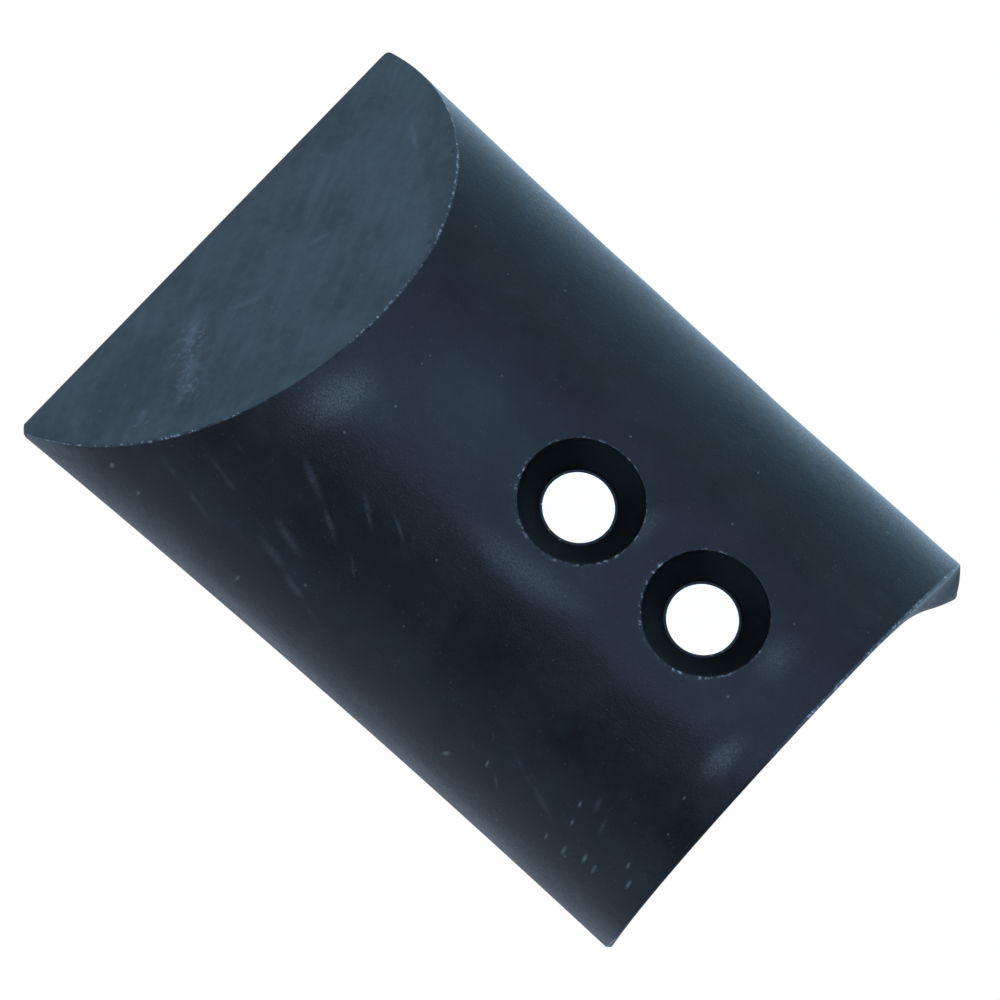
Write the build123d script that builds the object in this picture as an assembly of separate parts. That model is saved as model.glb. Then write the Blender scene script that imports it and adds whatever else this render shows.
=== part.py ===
from build123d import *
from math import copysign, cos, pi, radians, sin, tan
import os

# Rubber end cap of an extruded speed bump, with two steel-lined anchor holes.
# Millimetres, +Z up.  The origin is the middle of the footprint on the ground.
# The bump runs along X: the sawn ramp faces -X, the square joint end faces +X.

# ---- the rubber bar ------------------------------------------------------------
WIDTH = 158.8            # 6 1/4 in across the footprint
HEIGHT = 60.3            # 2 3/8 in at the crown
LENGTH = 228.6           # 9 in, toe of the ramp to the joint end
SECTION_POWER = 2.1      # 2 is a true half ellipse; a little more is fuller
SECTION_STEPS = 24       # spline points from one toe to the other
RAMP_ANGLE = 45.0        # saw cut, measured from the ground
TOE_LAND = 1.0           # blunt upright edge left at the toe of the saw cut
END_BEVEL = 0.6          # worn arris around the joint end

# ---- the anchor holes, on the centreline ----------------------------------------
FIRST_HOLE_SETBACK = 42.0    # joint end to the nearer hole
HOLE_SPACING = 48.0          # between the two holes
HEAD_DIAMETER = 36.8         # recess for a 3/4 in flat-head anchor
HEAD_LAND = 1.6              # short upright wall above the cone, at the crown
HEAD_CONE = 90.0             # included angle of the cone

# ---- the steel anchor inserts ----------------------------------------------------
SLEEVE_BORE = 21.0       # clearance for a 3/4 in anchor
SLEEVE_WALL = 0.8
SLEEVE_TOP_GAP = 0.3     # top of the sleeve sits this far below the cone
WASHER_DIAMETER = 38.0
WASHER_THICKNESS = 3.0
BOND_GAP = 0.05          # adhesive line around each insert

# ---- derived ----------------------------------------------------------------------
JOINT_END_X = LENGTH / 2
RAMP_TOE_X = -LENGTH / 2
SLEEVE_DIAMETER = SLEEVE_BORE + 2 * SLEEVE_WALL
RUBBER_BORE = SLEEVE_DIAMETER + 2 * BOND_GAP
CONE_DEPTH = (HEAD_DIAMETER - RUBBER_BORE) / 2 / tan(radians(HEAD_CONE / 2))
CONE_TOP_Z = HEIGHT - HEAD_LAND
CONE_BOTTOM_Z = CONE_TOP_Z - CONE_DEPTH
SLEEVE_TOP_Z = CONE_BOTTOM_Z - SLEEVE_TOP_GAP
HOLE_X = {
    "joint_side": JOINT_END_X - FIRST_HOLE_SETBACK,
    "ramp_side": JOINT_END_X - FIRST_HOLE_SETBACK - HOLE_SPACING,
}


def standing_cylinder(diameter, height):
    """A cylinder standing on z = 0, on the Z axis."""
    return Cylinder(diameter / 2, height, align=(Align.CENTER, Align.CENTER, Align.MIN))


def dome_section(x, inset):
    """The bar's section at a place along X, drawn in by a small inset all round the dome."""
    half_width = WIDTH / 2 - inset
    height = HEIGHT - inset
    points = []
    for step in range(SECTION_STEPS + 1):
        angle = pi * step / SECTION_STEPS
        across = -cos(angle)
        y = copysign(abs(across) ** (2 / SECTION_POWER), across) * half_width
        z = max(sin(angle), 0) ** (2 / SECTION_POWER) * height
        points.append((y, z))
    dome = Spline(*points, tangents=((0, 1), (0, -1)))
    base = Line((half_width, 0), (-half_width, 0))
    return Pos(x, 0, 0) * (Plane.YZ * make_face(dome + base))


def dome_bar():
    """The solid rubber bar along X, with the arris at its joint end worn to a bevel."""
    bevel_x = JOINT_END_X - END_BEVEL
    bar = extrude(dome_section(RAMP_TOE_X, 0), bevel_x - RAMP_TOE_X, dir=(1, 0, 0))
    bevel = loft([dome_section(bevel_x, 0), dome_section(JOINT_END_X, END_BEVEL)], ruled=True)
    return bar + bevel


def ramp_offcut():
    """The wedge of rubber that the slanting saw cut takes away."""
    rise = HEIGHT + 10
    run = rise / tan(radians(RAMP_ANGLE))
    outline = Polyline(
        (RAMP_TOE_X - 10, TOE_LAND),
        (RAMP_TOE_X, TOE_LAND),
        (RAMP_TOE_X + run, TOE_LAND + rise),
        (RAMP_TOE_X - 10, TOE_LAND + rise),
        close=True,
    )
    side_view = Plane.XZ * make_face(outline)
    return extrude(side_view, WIDTH / 2 + 5, both=True)


def anchor_hole(x):
    """The space cut for one anchor: head land, cone, sleeve bore and washer recess."""
    land = standing_cylinder(HEAD_DIAMETER, HEAD_LAND + 5)
    cone = Cone(
        RUBBER_BORE / 2,
        HEAD_DIAMETER / 2,
        CONE_DEPTH,
        align=(Align.CENTER, Align.CENTER, Align.MIN),
    )
    space = Pos(0, 0, CONE_TOP_Z) * land
    space += Pos(0, 0, CONE_BOTTOM_Z) * cone
    space += standing_cylinder(RUBBER_BORE, HEIGHT)
    space += standing_cylinder(WASHER_DIAMETER + 2 * BOND_GAP, WASHER_THICKNESS + BOND_GAP)
    return Pos(x, 0, 0) * space


def rubber_body():
    """The end cap itself: the bar, sawn to a ramp at one end and drilled twice."""
    body = dome_bar()
    body -= ramp_offcut()
    for x in HOLE_X.values():
        body -= anchor_hole(x)
    return body


def anchor_sleeve(x):
    """Steel tube lining one hole, from the ground up to the foot of the cone."""
    outside = standing_cylinder(SLEEVE_DIAMETER, SLEEVE_TOP_Z)
    inside = standing_cylinder(SLEEVE_BORE, SLEEVE_TOP_Z)
    return Pos(x, 0, 0) * (outside - inside)


def base_washer(x):
    """Steel washer around the foot of one sleeve, flush with the underside."""
    disc = standing_cylinder(WASHER_DIAMETER, WASHER_THICKNESS)
    hole = standing_cylinder(SLEEVE_DIAMETER + 2 * BOND_GAP, WASHER_THICKNESS)
    return Pos(x, 0, 0) * (disc - hole)


def main():
    os.makedirs("parts", exist_ok=True)
    parts = {"rubber_body": rubber_body()}
    for side, x in HOLE_X.items():
        parts[f"anchor_sleeve_{side}"] = anchor_sleeve(x)
        parts[f"base_washer_{side}"] = base_washer(x)
    for name, shape in parts.items():
        export_step(shape, f"parts/{name}.step")


main()
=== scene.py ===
import math

import bmesh
import bpy
import numpy as np
from mathutils import Matrix, Vector, noise
from mathutils.geometry import delaunay_2d_cdt


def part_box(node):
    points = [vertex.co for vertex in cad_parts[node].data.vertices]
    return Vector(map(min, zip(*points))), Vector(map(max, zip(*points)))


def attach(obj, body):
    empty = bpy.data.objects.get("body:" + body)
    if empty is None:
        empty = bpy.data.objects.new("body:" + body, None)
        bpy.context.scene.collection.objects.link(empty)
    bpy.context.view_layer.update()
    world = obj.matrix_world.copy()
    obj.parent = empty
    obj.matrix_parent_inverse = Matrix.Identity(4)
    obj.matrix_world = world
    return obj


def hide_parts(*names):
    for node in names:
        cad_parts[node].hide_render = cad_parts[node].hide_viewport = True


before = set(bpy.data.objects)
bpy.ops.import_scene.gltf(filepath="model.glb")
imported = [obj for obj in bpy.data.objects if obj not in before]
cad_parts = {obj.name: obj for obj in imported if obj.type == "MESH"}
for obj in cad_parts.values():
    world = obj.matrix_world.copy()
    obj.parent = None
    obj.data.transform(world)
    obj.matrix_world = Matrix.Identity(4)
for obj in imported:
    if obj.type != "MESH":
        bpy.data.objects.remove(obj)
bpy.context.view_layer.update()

# The end cap is modelled in millimetres and scaled to metres once it is finished.
# +X runs from the sawn ramp to the joint end, -Y is the side nearer the camera, +Z is up.
MM = 0.001

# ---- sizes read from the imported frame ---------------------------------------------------
_, body_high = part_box("rubber_body")
HALF_LENGTH = body_high.x / MM
HALF_WIDTH = body_high.y / MM
HEIGHT = body_high.z / MM


def hole_sizes(side):
    """Centre X, sleeve radius, sleeve top and washer sizes of one anchor hole, in millimetres."""
    sleeve_low, sleeve_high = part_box("anchor_sleeve_" + side)
    washer_low, washer_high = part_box("base_washer_" + side)
    return {
        "x": (sleeve_low.x + sleeve_high.x) / 2 / MM,
        "sleeve_radius": (sleeve_high.x - sleeve_low.x) / 2 / MM,
        "sleeve_top": sleeve_high.z / MM,
        "washer_radius": (washer_high.x - washer_low.x) / 2 / MM,
        "washer_top": washer_high.z / MM,
    }


HOLES = [hole_sizes("ramp_side"), hole_sizes("joint_side")]

# ---- sizes of the rubber that the frame's boxes don't give --------------------------------
SECTION_POWER = 2.1       # superellipse power of the dome's section
RAMP_SLOPE = 1.0          # rise over run of the saw cut
TOE_LAND = 1.0            # upright edge at the toe of the saw cut
BOND_GAP = 0.05           # adhesive line round each steel insert
HEAD_RADIUS = 18.4        # recess for the anchor head
HEAD_LAND = 1.6           # upright wall of the recess at the crown
RIM_ROUND = 0.5           # rounded edge of the recess
SLEEVE_TOP_GAP = 0.3      # foot of the cone, above the sleeve
WORN_EDGE = 0.6           # widest rounding of the sawn and square edges

# ---- mesh density -------------------------------------------------------------------------
BLOCK = (HOLES[1]["x"] - HOLES[0]["x"]) / 2   # half side of the square mesh block round a hole
BLOCK_CELLS = 24
FLANK_ROWS = 44
FAN_END_X = -36.0         # the rows that start at the saw cut become straight columns here
FAN_CELLS = 26
COLUMN_STEP = 2.0
BLOCK_RINGS = 4

SKIN, SAWN, RECESS, UNDERSIDE = range(4)      # material slots of the rubber


# ==== the rubber end cap ===================================================================
def dome_height(y):
    """Height of the dome above the ground at a place across it."""
    share = min(abs(y) / HALF_WIDTH, 1.0)
    return HEIGHT * (1 - share ** SECTION_POWER) ** (1 / SECTION_POWER)


def flank_rows():
    """(y, z) of the rows from the top of the toe land up to the hole blocks, evenly along the arc."""
    angle = np.linspace(0, math.pi / 2, 4001)
    y = HALF_WIDTH * np.cos(angle) ** (2 / SECTION_POWER)
    z = HEIGHT * np.sin(angle) ** (2 / SECTION_POWER)
    keep = (z >= TOE_LAND) & (y >= BLOCK)
    y, z = y[keep], z[keep]
    travelled = np.concatenate([[0], np.cumsum(np.hypot(np.diff(y), np.diff(z)))])
    marks = np.linspace(0, travelled[-1], FLANK_ROWS + 1)[:-1]
    z_at = np.interp(marks, travelled, z)
    z_at[0] = TOE_LAND
    return [(HALF_WIDTH * (1 - (h / HEIGHT) ** SECTION_POWER) ** (1 / SECTION_POWER), h) for h in z_at]


def section_rows():
    """(y, z) of every lengthwise row, from the near toe over the crown to the far toe."""
    flank = [(HALF_WIDTH, 0.0)] + flank_rows()
    near = [(-y, z) for y, z in flank]
    middle = [(y, dome_height(y)) for y in np.linspace(-BLOCK, BLOCK, BLOCK_CELLS + 1)]
    return near + middle + flank[::-1]


def evenly(start, end, step):
    """Values from start to end, about a step apart."""
    return list(np.linspace(start, end, max(1, round((end - start) / step)) + 1))


def straight_columns():
    """X of every crosswise column from the end of the fan to the joint end."""
    blocks_start = HOLES[0]["x"] - BLOCK
    blocks_end = HOLES[1]["x"] + BLOCK
    columns = evenly(FAN_END_X, blocks_start, COLUMN_STEP)
    columns += list(np.linspace(blocks_start, blocks_end, 2 * BLOCK_CELLS + 1))[1:]
    columns += evenly(blocks_end, HALF_LENGTH, COLUMN_STEP)[1:]
    return columns


def ramp_x(z):
    """X of the saw cut at a height."""
    return -HALF_LENGTH + max(z - TOE_LAND, 0.0) / RAMP_SLOPE


def dome_grid(bm, rows, columns):
    """The dome's vertices by (column, row): a fan from the saw cut, then straight columns."""
    grid = {}
    for j, (y, z) in enumerate(rows):
        fan = np.linspace(ramp_x(z), columns[0], FAN_CELLS + 1)[:-1]
        for i, x in enumerate([*fan, *columns]):
            inside_block = is_inside_a_block(x, y)
            if not inside_block:
                grid[i, j] = bm.verts.new((x, y, z))
    return grid


def is_inside_a_block(x, y):
    """True strictly inside a hole's square block, where rings of quads take over from the grid."""
    margin = BLOCK - 0.01
    return any(abs(x - hole["x"]) < margin and abs(y) < margin for hole in HOLES)


def add_face(bm, verts, material):
    face = bm.faces.new(verts)
    face.material_index = material
    face.smooth = True
    return face


def dome_faces(bm, grid, rows, column_count):
    """Quads between neighbouring grid vertices, outside the hole blocks."""
    blocked = set()
    for i, j in block_corners(grid, rows):
        blocked |= {(i + a, j + b) for a in range(BLOCK_CELLS) for b in range(BLOCK_CELLS)}
    for j in range(len(rows) - 1):
        for i in range(column_count - 1):
            if (i, j) not in blocked:
                corners = [grid[i, j], grid[i + 1, j], grid[i + 1, j + 1], grid[i, j + 1]]
                add_face(bm, corners, SKIN)


def block_corners(grid, rows):
    """(column, row) of each hole block's corner nearest -X and -Y."""
    first_row = FLANK_ROWS + 1
    first_column = min(i for i, j in grid
                       if j == first_row and abs(grid[i, j].co.x - HOLES[0]["x"] + BLOCK) < 0.01)
    return [(first_column + k * BLOCK_CELLS, first_row) for k in range(len(HOLES))]


def block_outline(grid, corner):
    """The vertices round one block, anticlockwise from its corner nearest -X and -Y."""
    i, j = corner
    n = BLOCK_CELLS
    outline = [grid[i + k, j] for k in range(n)]
    outline += [grid[i + n, j + k] for k in range(n)]
    outline += [grid[i + n - k, j + n] for k in range(n)]
    outline += [grid[i, j + n - k] for k in range(n)]
    return outline


def bridge(bm, ring_a, ring_b, material):
    """A band of quads between two closed rings of equal length."""
    count = len(ring_a)
    for k in range(count):
        m = (k + 1) % count
        add_face(bm, [ring_a[k], ring_a[m], ring_b[m], ring_b[k]], material)


def circle_points(centre_x, radius, count):
    """(x, y) round a hole, in step with its block's outline."""
    angles = [math.radians(-135 + 360 * k / count) for k in range(count)]
    return [(centre_x + radius * math.cos(a), radius * math.sin(a)) for a in angles]


def rings_on_dome(bm, outline, hole):
    """Rings that turn the square block into the round edge of the recess."""
    circle = circle_points(hole["x"], HEAD_RADIUS + RIM_ROUND, len(outline))
    ring = outline
    for step in range(1, BLOCK_RINGS + 1):
        share = step / BLOCK_RINGS
        inner = []
        for vert, (cx, cy) in zip(outline, circle):
            x = vert.co.x + (cx - vert.co.x) * share
            y = vert.co.y + (cy - vert.co.y) * share
            inner.append(bm.verts.new((x, y, dome_height(y))))
        bridge(bm, ring, inner, SKIN)
        ring = inner
    return ring


def rim_rings(bm, ring, hole):
    """The rounded rim, and the short upright wall below it."""
    inset_and_drop = [(0.7, 0.08), (0.25, 0.3), (0.0, 0.9)]
    for inset, drop in inset_and_drop:
        circle = circle_points(hole["x"], HEAD_RADIUS + RIM_ROUND * inset, len(ring))
        inner = [bm.verts.new((x, y, dome_height(y) - RIM_ROUND * drop)) for x, y in circle]
        bridge(bm, ring, inner, SKIN if drop < 0.2 else RECESS)
        ring = inner
    wall_foot = HEIGHT - HEAD_LAND
    circle = circle_points(hole["x"], HEAD_RADIUS, len(ring))
    inner = [bm.verts.new((x, y, min(wall_foot, dome_height(y) - RIM_ROUND * 1.2))) for x, y in circle]
    bridge(bm, ring, inner, RECESS)
    return inner


def bore_profile(hole):
    """(radius, z) down the hole from the cone to the ground."""
    bore = hole["sleeve_radius"] + BOND_GAP
    cone_foot = hole["sleeve_top"] + SLEEVE_TOP_GAP
    seat = hole["washer_radius"] + BOND_GAP
    seat_top = hole["washer_top"] + BOND_GAP
    cone_top = HEIGHT - HEAD_LAND
    cone = [(HEAD_RADIUS + (bore - HEAD_RADIUS) * s, cone_top + (cone_foot - cone_top) * s)
            for s in (0.08, 0.3, 0.6, 0.92, 1.0)]
    tube = [(bore, z) for z in (cone_foot - 0.4, cone_foot - 16, seat_top + 16, seat_top + 0.4, seat_top)]
    ledge = [(bore + 0.5, seat_top), ((bore + seat) / 2, seat_top), (seat - 0.5, seat_top), (seat, seat_top)]
    return cone + tube + ledge + [(seat, seat_top - 0.5), (seat, 0.5), (seat, 0.0)]


def hole_rings(bm, ring, hole):
    """The cone, the bore and the washer's seat, down to the ring on the underside."""
    for radius, z in bore_profile(hole):
        circle = circle_points(hole["x"], radius, len(ring))
        inner = [bm.verts.new((x, y, z)) for x, y in circle]
        bridge(bm, ring, inner, RECESS)
        ring = inner
    return ring


def is_within(point, outline):
    """True if a point lies inside a closed 2-D outline, by counting crossings."""
    found = False
    for a, b in zip(outline, outline[1:] + outline[:1]):
        if (a.y > point.y) != (b.y > point.y):
            crossing = a.x + (b.x - a.x) * (point.y - a.y) / (b.y - a.y)
            found ^= point.x < crossing
    return found


def lattice(outlines, spacing):
    """Staggered points inside the first outline, clear of every outline and of the others' insides."""
    edge = np.array([p for outline in outlines for p in outline])
    low, high = edge.min(0), edge.max(0)
    points = []
    for n, v in enumerate(np.arange(low[1] + spacing / 2, high[1], spacing * 0.866)):
        for u in np.arange(low[0] + spacing / 2 * (n % 2), high[0], spacing):
            point = Vector((u, v))
            clear = np.hypot(*(edge - (u, v)).T).min() > spacing * 0.7
            if clear and is_within(point, outlines[0]):
                if not any(is_within(point, hole) for hole in outlines[1:]):
                    points.append(point)
    return points


def fill_flat(bm, loops, across, up, spacing, material):
    """Fills a flat outline of vertices, less any holes in it, with even triangles."""
    outlines = [[Vector((v.co.dot(across), v.co.dot(up))) for v in loop] for loop in loops]
    verts = [v for loop in loops for v in loop]
    edges = []
    for loop in loops:
        start = len(edges)
        edges += [(start + k, start + (k + 1) % len(loop)) for k in range(len(loop))]
    normal = across.cross(up)
    depth = normal * verts[0].co.dot(normal)
    inner = lattice(outlines, spacing)
    verts += [bm.verts.new(depth + across * p.x + up * p.y) for p in inner]
    points = [p for outline in outlines for p in outline] + inner
    corners, _, triangles, origins, _, _ = delaunay_2d_cdt(points, edges, [], 1, 1e-5)
    for triangle in triangles:
        centre = sum((corners[k] for k in triangle), Vector((0, 0))) / 3
        if not any(is_within(centre, hole) for hole in outlines[1:]):
            add_face(bm, [verts[origins[k][0]] for k in triangle], material)


def line_of_verts(bm, start, end, step):
    """New vertices strictly between two vertices, about a step apart."""
    count = max(1, round((end.co - start.co).length / step))
    return [bm.verts.new(start.co.lerp(end.co, k / count)) for k in range(1, count)]


def weight_edges(bm, loop, value, layer_name, closed=False):
    """Gives the edges along a run of vertices a bevel weight or a crease."""
    layer = bm.edges.layers.float.get(layer_name) or bm.edges.layers.float.new(layer_name)
    for a, b in zip(loop, loop[1:] + (loop[:1] if closed else [])):
        edge = bm.edges.get((a, b))
        if edge:
            edge[layer] = value


def body_cage():
    """The end cap as a closed cage: dome, holes, saw cut, toe, joint end and underside."""
    bm = bmesh.new()
    rows = section_rows()
    columns = straight_columns()
    last_column = FAN_CELLS + len(columns) - 1
    last_row = len(rows) - 1
    grid = dome_grid(bm, rows, columns)
    dome_faces(bm, grid, rows, last_column + 1)

    ground_rings = []
    for corner, hole in zip(block_corners(grid, rows), HOLES):
        ring = rings_on_dome(bm, block_outline(grid, corner), hole)
        ring = rim_rings(bm, ring, hole)
        ground_rings.append(hole_rings(bm, ring, hole))

    arris = [grid[0, j] for j in range(1, last_row)]
    toe_top = [arris[-1]] + line_of_verts(bm, arris[-1], arris[0], 2.4) + [arris[0]]
    toe_foot = [grid[0, last_row]] + line_of_verts(bm, grid[0, last_row], grid[0, 0], 2.4) + [grid[0, 0]]
    for k in range(len(toe_top) - 1):
        add_face(bm, [toe_top[k], toe_top[k + 1], toe_foot[k + 1], toe_foot[k]], SAWN)
    slope = Vector((1, 0, RAMP_SLOPE)).normalized()
    fill_flat(bm, [arris + toe_top[1:-1]], Vector((0, 1, 0)), slope, 3.0, SAWN)

    end_arc = [grid[last_column, j] for j in range(last_row + 1)]
    end_foot = line_of_verts(bm, end_arc[-1], end_arc[0], 2.4)
    fill_flat(bm, [end_arc + end_foot], Vector((0, 1, 0)), Vector((0, 0, 1)), 3.5, SAWN)

    near_edge = [grid[i, 0] for i in range(last_column + 1)]
    far_edge = [grid[i, last_row] for i in range(last_column, -1, -1)]
    outline = near_edge + end_foot[::-1] + far_edge + toe_foot[1:-1]
    fill_flat(bm, [outline] + ground_rings, Vector((1, 0, 0)), Vector((0, 1, 0)), 6.0, UNDERSIDE)

    weight_edges(bm, arris, 0.45, "bevel_weight_edge")
    weight_edges(bm, toe_top, 0.3, "bevel_weight_edge")
    weight_edges(bm, toe_foot, 0.3, "bevel_weight_edge")
    weight_edges(bm, end_arc, 1.0, "bevel_weight_edge")
    weight_edges(bm, outline, 0.4, "bevel_weight_edge", closed=True)
    bmesh.ops.recalc_face_normals(bm, faces=bm.faces)
    return bm


def object_from(bm, name):
    """A Blender object that takes over a bmesh, linked to the scene."""
    mesh = bpy.data.meshes.new(name)
    bm.to_mesh(mesh)
    bm.free()
    made = bpy.data.objects.new(name, mesh)
    bpy.context.scene.collection.objects.link(made)
    return made


def round_and_subdivide(piece):
    """Rounds the weighted edges, subdivides once, and keeps the result as the mesh."""
    bevel = piece.modifiers.new("worn_edges", "BEVEL")
    bevel.limit_method = "WEIGHT"
    bevel.width = WORN_EDGE
    bevel.segments = 2
    bevel.use_clamp_overlap = False
    subdivision = piece.modifiers.new("smooth", "SUBSURF")
    subdivision.levels = subdivision.render_levels = 1
    depsgraph = bpy.context.evaluated_depsgraph_get()
    finished = bpy.data.meshes.new_from_object(piece.evaluated_get(depsgraph))
    piece.modifiers.clear()
    piece.data = finished


# ---- how the real bar differs from the drawing ------------------------------------------
# Each side's half width is less than the frame's by the share SLIMMER. The bows then add
# millimetres: quadratics in the place along the bar, -1 at the ramp's toe, +1 at the joint end.
SLIMMER = 0.0403
NEAR_BOW = (1.85, -2.04, 1.75)
FAR_BOW = (0.3, -0.89, 1.44)
HOLE_CLEAR, SIDE_CLEAR = 20.0, 42.0     # the sides' bow fades in between these distances
END_DISH = 4.6                          # the cut joint end is hollow at its foot
END_DISH_START = 96.0                   # the underside follows the dish from here
END_REACH = 0.35                        # the joint end stands this far beyond the drawing
CORNER_FLARE = 4.2                      # the foot of its far corner leans outwards
CORNER_TUCK = 6.0                       # and is tucked in under the flank
CORNER_SHORT = 1.0                      # while the flank above it stops a little short
CURL_START = 102.0                      # the tuck begins at this X
CURL_TOP = 18.0                         # and the curl fades out at this height
NEAR_CORNER_WORN = {-1: 0.0, 1: 3.0}    # worn off beyond the splay, by end: ramp -1, joint +1
RECESS_SAG = 0.8                        # the dome sinks a little round each recess
DENTS = [(-58.0, -27.0, 19.0, 1.1), (84.0, -36.0, 17.0, 0.5)]     # x, y, radius, depth


def smooth_share(value, start, end):
    """0 before start, 1 after end, and a smooth change between."""
    t = np.clip((value - start) / (end - start), 0, 1)
    return t * t * (3 - 2 * t)


def bowed_sides(points):
    """The flanks drawn in along the middle and splayed at both ends."""
    x, y, z = points.T
    s = x / HALF_LENGTH
    bow = np.where(y < 0, np.polyval(NEAR_BOW[::-1], s), np.polyval(FAR_BOW[::-1], s))
    share = np.abs(y) / HALF_WIDTH
    clear = smooth_share(np.abs(y), HOLE_CLEAR, SIDE_CLEAR)
    moved = y + clear * (np.sign(y) * share ** 2 * bow - SLIMMER * y)
    return np.stack([x, moved, z], 1)


def dished_end(points):
    """The joint end hollowed towards its foot, with its far corner flared outwards."""
    x, y, z = points.T
    share = np.clip(np.abs(y) / HALF_WIDTH, 0, 1)
    dome = HEIGHT * (1 - share ** SECTION_POWER) ** (1 / SECTION_POWER)
    depth = np.clip(1 - z / np.maximum(dome, 1.0), 0, 1)
    dish = END_DISH * (1 - share ** 2.6) * depth
    corner = smooth_share(x, CURL_START, HALF_LENGTH) * smooth_share(-z, -CURL_TOP, -4)
    tucked = y - CORNER_TUCK * corner * smooth_share(y, 58, 74)
    flare = CORNER_FLARE * smooth_share(tucked, 54, 74) * smooth_share(-z, -CURL_TOP, -2)
    flare -= CORNER_SHORT * smooth_share(y, 66, 78) * smooth_share(z, 8, CURL_TOP)
    reach = smooth_share(x, END_DISH_START, HALF_LENGTH - 1)
    return np.stack([x + reach * (END_REACH + flare - dish), tucked, z], 1)


def blunt_corners(points):
    """The two near corners of the footprint, worn off at 45 degrees."""
    x, y, z = points.T
    for end, worn in NEAR_CORNER_WORN.items():
        over = np.clip(end * x - y - HALF_LENGTH - HALF_WIDTH + worn, 0, None)
        x, y = x - end * over / 2, y + over / 2
    return np.stack([x, y, z], 1)


def uneven_skin(points, normals):
    """Slow waves in the extruded dome, away from the holes, the ground and the flat cuts."""
    x, y, z = points.T
    away = np.minimum(*[np.hypot(x - hole["x"], y) for hole in HOLES])
    mask = smooth_share(away, 20, 30) * smooth_share(z, 2, 12)
    mask *= smooth_share(x - np.array([ramp_x(h) for h in z]), 1, 8)
    mask *= 1 - smooth_share(x, HALF_LENGTH - 6, HALF_LENGTH - 1)
    wave = np.zeros(len(points))
    for size, height in ((46.0, 0.35), (19.0, 0.12), (8.0, 0.03)):
        wave += height * np.array([noise.noise(Vector(p) / size) for p in points])
    return points + normals * (mask * wave)[:, None]


def sunken(points):
    """The dome let down a little round the recesses and in a few shallow dents."""
    x, y, z = points.T
    drop = np.zeros(len(points))
    for hole in HOLES:
        away = np.hypot(x - hole["x"], y)
        drop += RECESS_SAG * (1 - smooth_share(away, 19, 34)) * smooth_share(z, 52, 58)
    for dent_x, dent_y, radius, depth in DENTS:
        away = np.hypot(x - dent_x, y - dent_y)
        drop += depth * np.exp(-(away / radius) ** 2) * smooth_share(z, 20, 40)
    return np.stack([x, y, z - drop], 1)


def chipped_edges(points):
    """Small nicks along the upper arris of the saw cut and round the lower side of the recesses."""
    chipped = points.copy()
    for k, (x, y, z) in enumerate(points):
        if z < 8:
            continue
        on_cut = abs(x - ramp_x(z)) < 1.0 and abs(z - dome_height(y)) < 1.2
        on_rim = any(abs(math.hypot(x - hole["x"], y) - HEAD_RADIUS - 0.3) < 0.6 and y < x - hole["x"]
                     for hole in HOLES) and dome_height(y) - z < 0.5
        if on_cut or on_rim:
            nick = noise.noise(Vector((x, y, z)) / 1.7 + Vector((7.3, 0, 0))) - 0.28
            if nick > 0:
                chipped[k, 2] -= (1.3 if on_cut else 0.9) * nick
    return chipped


def wear(piece):
    """Moves the finished mesh's vertices from the drawn shape to the real one."""
    mesh = piece.data
    points = np.array([v.co for v in mesh.vertices])
    normals = np.array([v.normal for v in mesh.vertices])
    points = chipped_edges(uneven_skin(points, normals))
    points = blunt_corners(dished_end(bowed_sides(sunken(points))))
    mesh.vertices.foreach_set("co", points.ravel().astype(np.float32))
    mesh.update()


def keep_flats_flat(piece):
    """Shades the rounded edges without bending the light on the flats beside them."""
    normals = piece.modifiers.new("flat_normals", "WEIGHTED_NORMAL")
    normals.mode = "FACE_AREA"
    normals.weight = 60


# ==== materials ============================================================================
# Ovals on the rubber, x, y, turn from +X in degrees, length, width: real marks, and the painted highlight
# and painted sheen patches.
SCRATCHES = [
    (-37.3, -46.1, -23, 18, 3.4), (-24.8, -51.7, -25, 13, 2.4), (-11.5, -56.0, -38, 7, 1.4),
    (-31.9, -61.1, -13, 18, 3.2), (-32.5, -66.2, -7, 16, 3.0), (-18.7, -42.9, -34, 15, 2.0),
    (-8.8, -40.7, -28, 12, 1.8), (47.6, -67.9, -41, 4, 0.7), (50.7, -63.5, -40, 4, 0.6),
    (86.1, -58.6, 107, 6, 2.2), (91.0, -61.5, 107, 6, 2.0), (59.2, -70.2, -30, 6, 1.2),
]
FAINT_STREAKS = [(-51, -61.6, -9, 40, 1.6), (-64.5, -68.7, -8, 32, 2.0), (-58, -53, -12, 14, 1.2),
                 (-20, -69, -10, 26, 2.4), (70, -66, -14, 30, 2.0)]
SPECKS = [
    (-84.8, -75.8, 0, 2.0, 1.6), (-74.0, -76.2, 0, 1.8, 1.2), (-79.8, -66.4, 0, 1.8, 1.5),
    (-36.1, -75.3, 60, 2.0, 1.2), (-19.1, -66.6, 0, 1.2, 1.0), (42.8, -72.8, 20, 3.4, 1.6),
    (54.0, -68.7, 108, 2.4, 1.2), (83.7, -65.7, 108, 2.4, 1.4), (82.0, -61.3, 108, 2.6, 1.3),
    (86.7, -71.1, 108, 2.8, 1.6), (92.9, -69.5, 108, 3.0, 1.8), (96.9, -69.9, 108, 2.8, 1.6),
    (103.9, -64.4, 100, 2.4, 1.4), (107.4, -67.5, 100, 3.2, 1.6), (103.4, -42.8, 100, 2.0, 1.0),
    (106.9, -52.5, 0, 1.2, 1.0), (80.2, -71.5, 108, 2.0, 1.2), (-53.4, 41.9, 60, 1.6, 0.8),
    (-36.0, -2.0, 0, 1.0, 0.9), (-35.9, 1.4, 0, 1.0, 0.8), (-36.8, 37.0, 0, 0.9, 0.8),
]
# Painted highlights: ovals where the skin's colour is lightened to stand in for reflections of the lamps.
PAINTED_HIGHLIGHTS = [(-43, -24, 20, 44, 28), (42, 4, -55, 17, 11), (95, 4, -60, 20, 14), (104, -29, -50, 22, 10),
         (-15, 2, 0, 70, 50), (30, -28, 10, 60, 16)]
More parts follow.
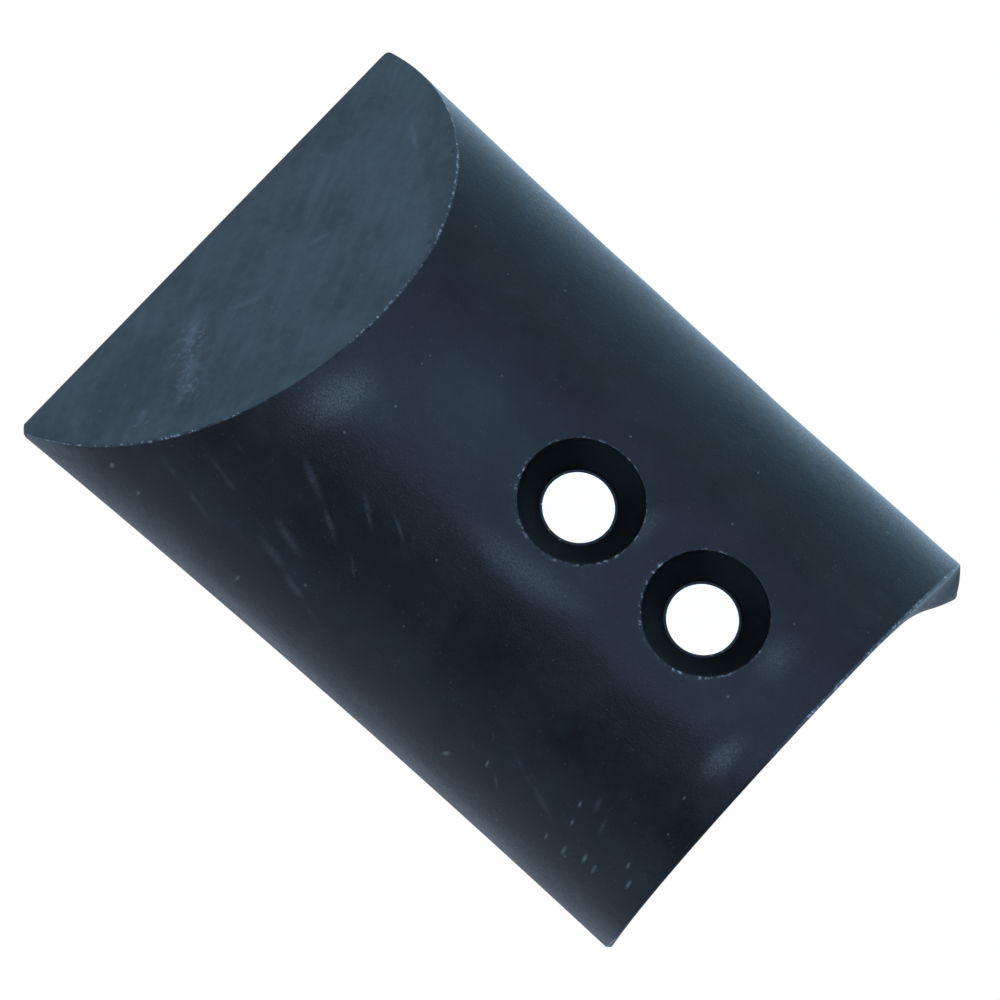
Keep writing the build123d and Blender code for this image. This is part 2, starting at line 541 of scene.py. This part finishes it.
RECESS_RIMS = [(hole["x"] - 0.2, -0.4, 0, 39.4, 39.4) for hole in HOLES]
# Painted sheen: brighter, grainy painted highlights by the saw cut, beside the holes and at the joint end.
PAINTED_SHEEN = [(-48, -26, 70, 40, 24), (-47, -25, 70, 30, 18), (-46, -24, 70, 20, 11), (42, 7, 80, 20, 12),
         (96, 4, 80, 26, 16), (104, -28, 84, 26, 12), (104, -28, 84, 20, 9), (25, -26, 5, 60, 14)]
SAW_STREAKS = [(-98.4, 28, 110, 30, 4.5), (-89, -14, 60, 12, 3), (-86.5, 14, 70, 12, 3),
               (-86.5, -42, 118, 26, 6), (-88, 57, 134, 16, 3), (-111, -33, 118, 12, 4),
               (-87.5, -61, 118, 9, 3), (-95, -30, 118, 28, 5)]
SAW_BLOTCHES = [(-84, -45, 119, 22, 12), (-93, -34, 110, 26, 12), (-87, -62, 110, 12, 6)]
BLACK_LOW, BLACK_HIGH = (0.0044, 0.0046, 0.0038), (0.0082, 0.0086, 0.0076)
MOTTLE = (0.014, 0.016, 0.016)
# Colour of the painted highlights.
PAINTED_HIGHLIGHT_HAZE = (0.040, 0.048, 0.050)
# Colour of the painted sheen, a brighter painted highlight.
PAINTED_SHEEN_HAZE = (0.050, 0.050, 0.042)
DUST = (0.13, 0.135, 0.125)
# Frayed rubber at the nicks, also used as a painted highlight line along the arrises.
FRAYED_AND_ARRIS_HIGHLIGHT = (0.22, 0.23, 0.22)
SAWN_LOW, SAWN_HIGH = (0.020, 0.0245, 0.0235), (0.034, 0.0405, 0.039)
SAWN_DUST = (0.11, 0.12, 0.115)
SKIN_IOR = 1.22
NO_HEIGHT = 10000                       # stretches an oval so far along Z that height doesn't matter


class Surface:
    """A material under construction. Sizes of its patterns are in millimetres."""

    def __init__(self, name):
        self.material = bpy.data.materials.new(name)
        self.material.use_nodes = True
        self.nodes = self.material.node_tree.nodes
        self.links = self.material.node_tree.links
        self.shader = self.nodes["Principled BSDF"]
        coordinates = self.nodes.new("ShaderNodeTexCoord")
        to_mm = self.nodes.new("ShaderNodeVectorMath")
        to_mm.operation = "SCALE"
        to_mm.inputs["Scale"].default_value = 1 / MM
        self.links.new(coordinates.outputs["Object"], to_mm.inputs[0])
        self.point = to_mm.outputs[0]

    def put(self, socket, value):
        """Links an output to a socket, or sets the socket to a plain value."""
        if isinstance(value, bpy.types.NodeSocket):
            self.links.new(value, socket)
        else:
            socket.default_value = value

    def stretched(self, turn, scale, shift=(0, 0, 0)):
        """The point turned about Z by degrees, then scaled along each axis."""
        mapping = self.nodes.new("ShaderNodeMapping")
        mapping.vector_type = "TEXTURE"
        mapping.inputs["Rotation"].default_value = (0, 0, math.radians(turn))
        mapping.inputs["Scale"].default_value = scale
        mapping.inputs["Location"].default_value = shift
        self.links.new(self.point, mapping.inputs["Vector"])
        return mapping.outputs["Vector"]

    def noise(self, size, detail=2.0, roughness=0.5, at=None, distortion=0.0):
        texture = self.nodes.new("ShaderNodeTexNoise")
        texture.inputs["Scale"].default_value = 1 / size
        texture.inputs["Detail"].default_value = detail
        texture.inputs["Roughness"].default_value = roughness
        texture.inputs["Distortion"].default_value = distortion
        self.links.new(at or self.point, texture.inputs["Vector"])
        return texture.outputs["Fac"]

    def cells(self, size, at=None):
        """(distance to the nearest cell's middle, a random number for the cell)."""
        texture = self.nodes.new("ShaderNodeTexVoronoi")
        texture.inputs["Scale"].default_value = 1 / size
        self.links.new(at or self.point, texture.inputs["Vector"])
        split = self.nodes.new("ShaderNodeSeparateColor")
        self.links.new(texture.outputs["Color"], split.inputs["Color"])
        return texture.outputs["Distance"], split.outputs["Red"]

    def fade(self, value, start, end, low=0.0, high=1.0):
        """low up to start, high after end, and a smooth change between."""
        step = self.nodes.new("ShaderNodeMapRange")
        step.interpolation_type = "SMOOTHSTEP"
        self.put(step.inputs["Value"], value)
        step.inputs["From Min"].default_value = start
        step.inputs["From Max"].default_value = end
        step.inputs["To Min"].default_value = low
        step.inputs["To Max"].default_value = high
        return step.outputs["Result"]

    def math(self, operation, a, b):
        maths = self.nodes.new("ShaderNodeMath")
        maths.operation = operation
        self.put(maths.inputs[0], a)
        self.put(maths.inputs[1], b)
        return maths.outputs[0]

    def product(self, *values):
        result = values[0]
        for value in values[1:]:
            result = self.math("MULTIPLY", result, value)
        return result

    def total(self, *values):
        result = values[0]
        for value in values[1:]:
            result = self.math("ADD", result, value)
        return result

    def mix(self, share, first, second):
        """A colour between two colours."""
        mixer = self.nodes.new("ShaderNodeMix")
        mixer.data_type = "RGBA"
        self.put(mixer.inputs["Factor"], share)
        for socket, colour in (("A", first), ("B", second)):
            target = next(s for s in mixer.inputs if s.name == socket and s.type == "RGBA")
            self.put(target, colour if isinstance(colour, bpy.types.NodeSocket) else (*colour, 1))
        return next(s for s in mixer.outputs if s.type == "RGBA")

    def axis(self, name):
        """One coordinate of the point, in millimetres."""
        split = self.nodes.new("ShaderNodeSeparateXYZ")
        self.links.new(self.point, split.inputs["Vector"])
        return split.outputs[name]

    def mark(self, x, y, turn, length, width, sharp=0.4):
        """1 inside an oval on the footprint, turned about Z by degrees, falling to 0 at its edge."""
        oval = self.stretched(turn, (length / 2, width / 2, NO_HEIGHT), (x, y, 0))
        size = self.nodes.new("ShaderNodeVectorMath")
        size.operation = "LENGTH"
        self.links.new(oval, size.inputs[0])
        return self.fade(size.outputs["Value"], sharp, 1.0, 1.0, 0.0)

    def marks(self, ovals, sharp=0.4):
        """All the ovals of a list together."""
        return self.total(*[self.mark(*oval, sharp=sharp) for oval in ovals])

    def saw_arris(self, full, gone):
        """1 within full mm of the saw cut's plane, 0 beyond gone mm from it."""
        rise = self.total(self.product(self.axis("X"), RAMP_SLOPE), TOE_LAND + HALF_LENGTH * RAMP_SLOPE)
        below = self.math("SUBTRACT", rise, self.axis("Z"))
        return self.fade(self.math("ABSOLUTE", below, 0.0), full, gone, 1.0, 0.0)

    def joint_arris(self, full, gone):
        """1 within full mm of the joint end, 0 beyond gone mm from it, and 0 near the near side, where the
        painted arris highlight fades out.
        """
        inset = self.math("ABSOLUTE", self.math("SUBTRACT", HALF_LENGTH, self.axis("X")), 0.0)
        return self.product(self.fade(inset, full, gone, 1.0, 0.0), self.fade(self.axis("Y"), -25, 0))

    def bump(self, height, depth, below=None):
        """A normal for a height pattern, depth millimetres from low to high."""
        relief = self.nodes.new("ShaderNodeBump")
        relief.inputs["Distance"].default_value = depth * MM
        self.links.new(height, relief.inputs["Height"])
        if below is not None:
            self.links.new(below, relief.inputs["Normal"])
        return relief.outputs["Normal"]

    def finish(self, colour, roughness, normal, **plain):
        self.put(self.shader.inputs["Base Color"], colour)
        self.put(self.shader.inputs["Roughness"], roughness)
        self.put(self.shader.inputs["Normal"], normal)
        for name, value in plain.items():
            self.shader.inputs[name].default_value = value
        return self.material


def skin_rubber():
    """The bar's skin: dark satin rubber with a pebbled grain, painted highlight and painted sheen patches,
    dust specks, scratches, and nicks along a painted highlight line on the arrises.
    """
    s = Surface("rubber_extruded_skin")
    clouds = s.noise(34, 4, 0.55, distortion=0.6)
    mottle = s.noise(7, 5, 0.6)
    grain = s.noise(0.9, 3, 0.6)
    pebble = s.noise(2.6, 2, 0.5)
    glitter = s.noise(0.42, 2, 0.6)
    ragged = s.fade(s.noise(1.1, 3, 0.7), 0.25, 0.62, 0.25, 1.0)
    chips = s.fade(s.noise(1.3, 3, 0.7), 0.50, 0.62)
    clusters = s.fade(s.noise(10, 2, 0.5), 0.38, 0.62, 0.08, 1.0)
    # Real nicks along the arrises and rims, plus a thin painted highlight line along the arrises (the 0.14
    # share), which fades out towards the near side at the joint end.
    arrises = s.total(s.saw_arris(0.4, 1.2), s.product(s.joint_arris(0.2, 0.9), 1.6))
    nicks_and_arris_highlight = s.total(s.product(arrises, s.total(s.product(chips, clusters), 0.14)),
                    s.product(s.marks(RECESS_RIMS, 0.955), chips, clusters))
    nicks_and_arris_highlight = s.math("MINIMUM", nicks_and_arris_highlight, 1.0)
    dust_distance, dust_pick = s.cells(1.3)
    dust = s.product(s.fade(dust_distance, 0.10, 0.22, 1.0, 0.0), s.fade(dust_pick, 0.88, 0.93))
    fleck_distance, fleck_pick = s.cells(5.5)
    flecks = s.product(s.fade(fleck_distance, 0.05, 0.10, 1.0, 0.0), s.fade(fleck_pick, 0.86, 0.88))
    scratches = s.product(s.marks(SCRATCHES, 0.0), ragged)
    streaks = s.product(s.marks(FAINT_STREAKS, 0.1), s.fade(mottle, 0.35, 0.6))
    specks = s.product(s.marks(SPECKS, 0.1), ragged)
    painted_sheen = s.product(s.marks(PAINTED_SHEEN, 0.0), s.fade(glitter, 0.38, 0.66, 0.3, 2.0))
    painted_highlight = s.product(s.marks(PAINTED_HIGHLIGHTS, 0.0), s.fade(clouds, 0.2, 0.7, 0.6, 1.0))

    colour = s.mix(s.fade(clouds, 0.3, 0.72), BLACK_LOW, BLACK_HIGH)
    colour = s.mix(s.fade(mottle, 0.45, 0.8, 0.0, 0.35), colour, MOTTLE)
    # Painted highlight: the skin is lightened inside the painted highlight ovals.
    colour = s.mix(s.product(painted_highlight, 0.2), colour, PAINTED_HIGHLIGHT_HAZE)
    # Painted sheen: grainy painted highlights lighten the skin further.
    colour = s.mix(s.product(painted_sheen, 0.32), colour, PAINTED_SHEEN_HAZE)
    colour = s.mix(s.product(streaks, 0.10), colour, DUST)
    colour = s.mix(s.product(scratches, 0.16), colour, DUST)
    colour = s.mix(s.product(dust, 0.16), colour, DUST)
    colour = s.mix(s.product(flecks, 0.35), colour, DUST)
    colour = s.mix(s.product(specks, 0.5), colour, DUST)
    colour = s.mix(s.product(nicks_and_arris_highlight, 0.9), colour, FRAYED_AND_ARRIS_HIGHLIGHT)
    roughness = s.total(s.fade(clouds, 0.3, 0.7, 0.32, 0.39), s.fade(grain, 0.3, 0.7, -0.04, 0.05),
                        s.product(scratches, 0.15))
    normal = s.bump(pebble, 0.06)
    normal = s.bump(grain, 0.06, normal)
    normal = s.bump(glitter, 0.08, normal)
    normal = s.bump(scratches, 0.02, normal)
    return s.finish(colour, roughness, normal, IOR=SKIN_IOR)


def sawn_rubber():
    """Saw-cut rubber: matt, paler and dusty, with wiped streaks and a fine tooth."""
    s = Surface("rubber_saw_cut")
    clouds = s.noise(30, 3, 0.55)
    along_the_saw = s.stretched(112, (30, 3.2, 30))
    drag = s.fade(s.noise(1, 4, 0.62, at=along_the_saw), 0.40, 0.72)
    tooth = s.noise(0.7, 3, 0.65)
    blotch = s.noise(3.2, 5, 0.65)
    patchy = s.product(s.fade(blotch, 0.3, 0.65, 0.4, 1.0), s.fade(drag, 0.0, 1.0, 0.5, 1.0))
    streaks = s.product(s.marks(SAW_STREAKS, 0.0), patchy)
    smears = s.product(s.marks(SAW_BLOTCHES, 0.2), s.fade(s.noise(2.0, 4, 0.65), 0.48, 0.66))
    speck_distance, speck_pick = s.cells(3.4)
    specks = s.product(s.fade(speck_distance, 0.06, 0.13, 1.0, 0.0), s.fade(speck_pick, 0.80, 0.84))

    colour = s.mix(s.fade(clouds, 0.3, 0.7), SAWN_LOW, SAWN_HIGH)
    colour = s.mix(s.product(drag, 0.10), colour, SAWN_DUST)
    colour = s.mix(s.product(streaks, 0.55), colour, SAWN_DUST)
    colour = s.mix(s.product(smears, 0.45), colour, SAWN_DUST)
    colour = s.mix(s.product(specks, 0.35), colour, SAWN_DUST)
    roughness = s.fade(blotch, 0.3, 0.7, 0.62, 0.74)
    normal = s.bump(blotch, 0.04)
    normal = s.bump(tooth, 0.035, normal)
    return s.finish(colour, roughness, normal, IOR=1.38)


def recess_rubber():
    """Drilled and countersunk rubber: nearly black, coloured darker than the skin as painted shade in the
    recess, with faint turned rings.
    """
    s = Surface("rubber_recess")
    grain = s.noise(0.8, 3, 0.6)
    rings = s.noise(1, 2, 0.5, at=s.stretched(0, (40, 40, 0.5)))
    dust = s.fade(s.noise(4, 5, 0.6), 0.55, 0.8)
    # Painted shade: the recess is coloured darker than the skin rubber.
    colour = s.mix(dust, (0.0020, 0.0026, 0.0024), (0.0050, 0.0060, 0.0058))
    roughness = s.fade(grain, 0.3, 0.7, 0.36, 0.48)
    normal = s.bump(s.total(s.product(rings, 0.6), s.product(grain, 0.5)), 0.06)
    return s.finish(colour, roughness, normal, IOR=1.2)


def underside_rubber():
    """The face on the ground: matt and scuffed, with road dust in it."""
    s = Surface("rubber_underside")
    scuffs = s.fade(s.noise(1, 4, 0.6, at=s.stretched(4, (60, 3, 1))), 0.5, 0.75)
    dust = s.fade(s.noise(16, 5, 0.6), 0.42, 0.75)
    grain = s.noise(0.9, 3, 0.65)
    colour = s.mix(dust, (0.022, 0.026, 0.030), (0.055, 0.058, 0.058))
    colour = s.mix(s.product(scuffs, 0.4), colour, (0.10, 0.105, 0.11))
    roughness = s.fade(dust, 0.0, 1.0, 0.55, 0.75)
    normal = s.bump(s.total(s.product(grain, 0.7), s.product(scuffs, 0.4)), 0.05)
    return s.finish(colour, roughness, normal, IOR=1.38)


def zinc_steel(name, colour, shade_and_grime):
    """Steel, more mirror-like than real zinc plate, painted dark and matt in patches on faces that look up:
    painted shade with some dirt.
    """
    s = Surface(name)
    spangle = s.noise(2.2, 4, 0.6)
    drawn = s.noise(1, 3, 0.5, at=s.stretched(0, (3, 3, 0.25)))
    split = s.nodes.new("ShaderNodeSeparateXYZ")
    geometry = s.nodes.new("ShaderNodeNewGeometry")
    s.links.new(geometry.outputs["Normal"], split.inputs["Vector"])
    # Painted shade with some dirt: noisy patches on upward faces turn near black and lose their metal.
    painted_shade_and_dirt = s.product(s.fade(s.noise(1.4, 3, 0.6), 0.20, 0.34), s.fade(split.outputs["Z"], 0.1, 0.5), shade_and_grime)
    colour = s.mix(s.fade(spangle, 0.35, 0.7, 0.0, 0.5), colour, tuple(0.93 * c for c in colour))
    colour = s.mix(painted_shade_and_dirt, colour, (0.006, 0.007, 0.007))
    roughness = s.total(s.fade(spangle, 0.3, 0.7, 0.10, 0.18), s.product(painted_shade_and_dirt, 0.4))
    normal = s.bump(s.total(s.product(drawn, 0.5), s.product(spangle, 0.4)), 0.006)
    s.put(s.shader.inputs["Metallic"], s.math("SUBTRACT", 1.0, painted_shade_and_dirt))
    return s.finish(colour, roughness, normal, IOR=1.2)


body = object_from(body_cage(), "bump_end_cap")
round_and_subdivide(body)
wear(body)
keep_flats_flat(body)
body.data.transform(Matrix.Scale(MM, 4))
for material in (skin_rubber(), sawn_rubber(), recess_rubber(), underside_rubber()):
    body.data.materials.append(material)
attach(body, "root")
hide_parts("rubber_body")
# The sleeves' upward faces are painted near black as shade in the recess; the washers get half of it.
sleeve_steel = zinc_steel("sleeve_zinc_steel", (0.98, 0.95, 0.90), 0.995)
washer_steel = zinc_steel("washer_zinc_steel", (0.60, 0.61, 0.62), 0.5)
for name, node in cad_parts.items():
    if name.startswith("anchor_sleeve"):
        node.data.materials.clear()
        node.data.materials.append(sleeve_steel)
    if name.startswith("base_washer"):
        node.data.materials.clear()
        node.data.materials.append(washer_steel)

# ==== stage ================================================================================
CAMERA_AIM = Vector((4.3, -8.05, 29.98)) * MM
CAMERA_DISTANCE = 3172.9 * MM
CAMERA_AZIMUTH = math.radians(-70.58)
CAMERA_ELEVATION = math.radians(73.49)
CAMERA_ROLL = math.radians(23.46)

cam_data = bpy.data.cameras.new("camera")
cam_data.sensor_width = 36
cam_data.lens = 396
cam_data.clip_end = 50
camera = bpy.data.objects.new("camera", cam_data)
bpy.context.scene.collection.objects.link(camera)
back = Vector((math.cos(CAMERA_ELEVATION) * math.cos(CAMERA_AZIMUTH),
               math.cos(CAMERA_ELEVATION) * math.sin(CAMERA_AZIMUTH),
               math.sin(CAMERA_ELEVATION)))
camera.rotation_mode = "QUATERNION"
camera.location = CAMERA_AIM + back * CAMERA_DISTANCE
right = Vector((0, 0, 1)).cross(back).normalized()
up = back.cross(right)
level = Matrix((right, up, back)).transposed()
camera.rotation_quaternion = (level @ Matrix.Rotation(CAMERA_ROLL, 3, "Z")).to_quaternion()
bpy.context.scene.camera = camera

floor_mesh = bpy.data.meshes.new("floor")
floor_mesh.from_pydata([(-8, -8, 0), (8, -8, 0), (8, 8, 0), (-8, 8, 0)], [], [(0, 1, 2, 3)])
floor = bpy.data.objects.new("floor", floor_mesh)
bpy.context.scene.collection.objects.link(floor)
floor.location.z = -0.0002


def white_floor():
    """A lit white table. What the object mirrors of it is cooler than what is seen directly."""
    white = bpy.data.materials.new("white_floor")
    white.use_nodes = True
    nodes, links = white.node_tree.nodes, white.node_tree.links
    shader = nodes["Principled BSDF"]
    shader.inputs["Base Color"].default_value = (0.06, 0.38, 0.48, 1)
    shader.inputs["Roughness"].default_value = 0.9
    shader.inputs["Specular IOR Level"].default_value = 0.0
    shader.inputs["Emission Color"].default_value = (1.18, 1.22, 1.32, 1)
    shader.inputs["Emission Strength"].default_value = 0.85
    seen = nodes.new("ShaderNodeEmission")
    seen.inputs["Color"].default_value = (1, 1, 1, 1)
    seen.inputs["Strength"].default_value = 1.0
    path = nodes.new("ShaderNodeLightPath")
    choose = nodes.new("ShaderNodeMixShader")
    links.new(path.outputs["Is Camera Ray"], choose.inputs["Fac"])
    links.new(shader.outputs["BSDF"], choose.inputs[1])
    links.new(seen.outputs["Emission"], choose.inputs[2])
    links.new(choose.outputs["Shader"], nodes["Material Output"].inputs["Surface"])
    return white


floor.data.materials.append(white_floor())


def soft_panel(name, radiance, colour, size, place, aim):
    """A rectangular soft light of a given brightness, facing a point."""
    data = bpy.data.lights.new(name, "AREA")
    data.shape = "RECTANGLE"
    data.size, data.size_y = size
    data.energy = radiance * math.pi * size[0] * size[1]
    data.color = colour
    panel = bpy.data.objects.new(name, data)
    panel.location = place
    panel.rotation_mode = "QUATERNION"
    panel.rotation_quaternion = (Vector(aim) - Vector(place)).to_track_quat("-Z", "Y")
    bpy.context.scene.collection.objects.link(panel)
    return panel


soft_panel("overhead", 2.7, (0.53, 0.80, 1.34), (1.7, 2.1), (0.10, 0.2, 1.66), (0, 0, 0))
soft_panel("key", 3.6, (0.56, 0.80, 1.16), (0.55, 0.80), (-0.42, 0.0, 1.45), (0, 0, 0))
soft_panel("far_side", 1.6, (0.48, 0.86, 1.28), (2.6, 1.5), (0.0, 1.7, 0.78), (0, 0, 0))
soft_panel("near_side", 3.2, (0.26, 0.50, 0.84), (3.4, 0.7), (0.0, -1.8, 0.36), (0, 0, 0))
soft_panel("far_floor", 3.2, (0.60, 1.00, 1.10), (1.3, 0.3), (0.0, 0.16, 0.30), (0, 1.0, 0))

world = bpy.data.worlds.new("world")
bpy.context.scene.world = world
world.use_nodes = True
world.node_tree.nodes["Background"].inputs["Color"].default_value = (0.20, 0.235, 0.275, 1)
bpy.context.scene.view_settings.view_transform = "Standard"
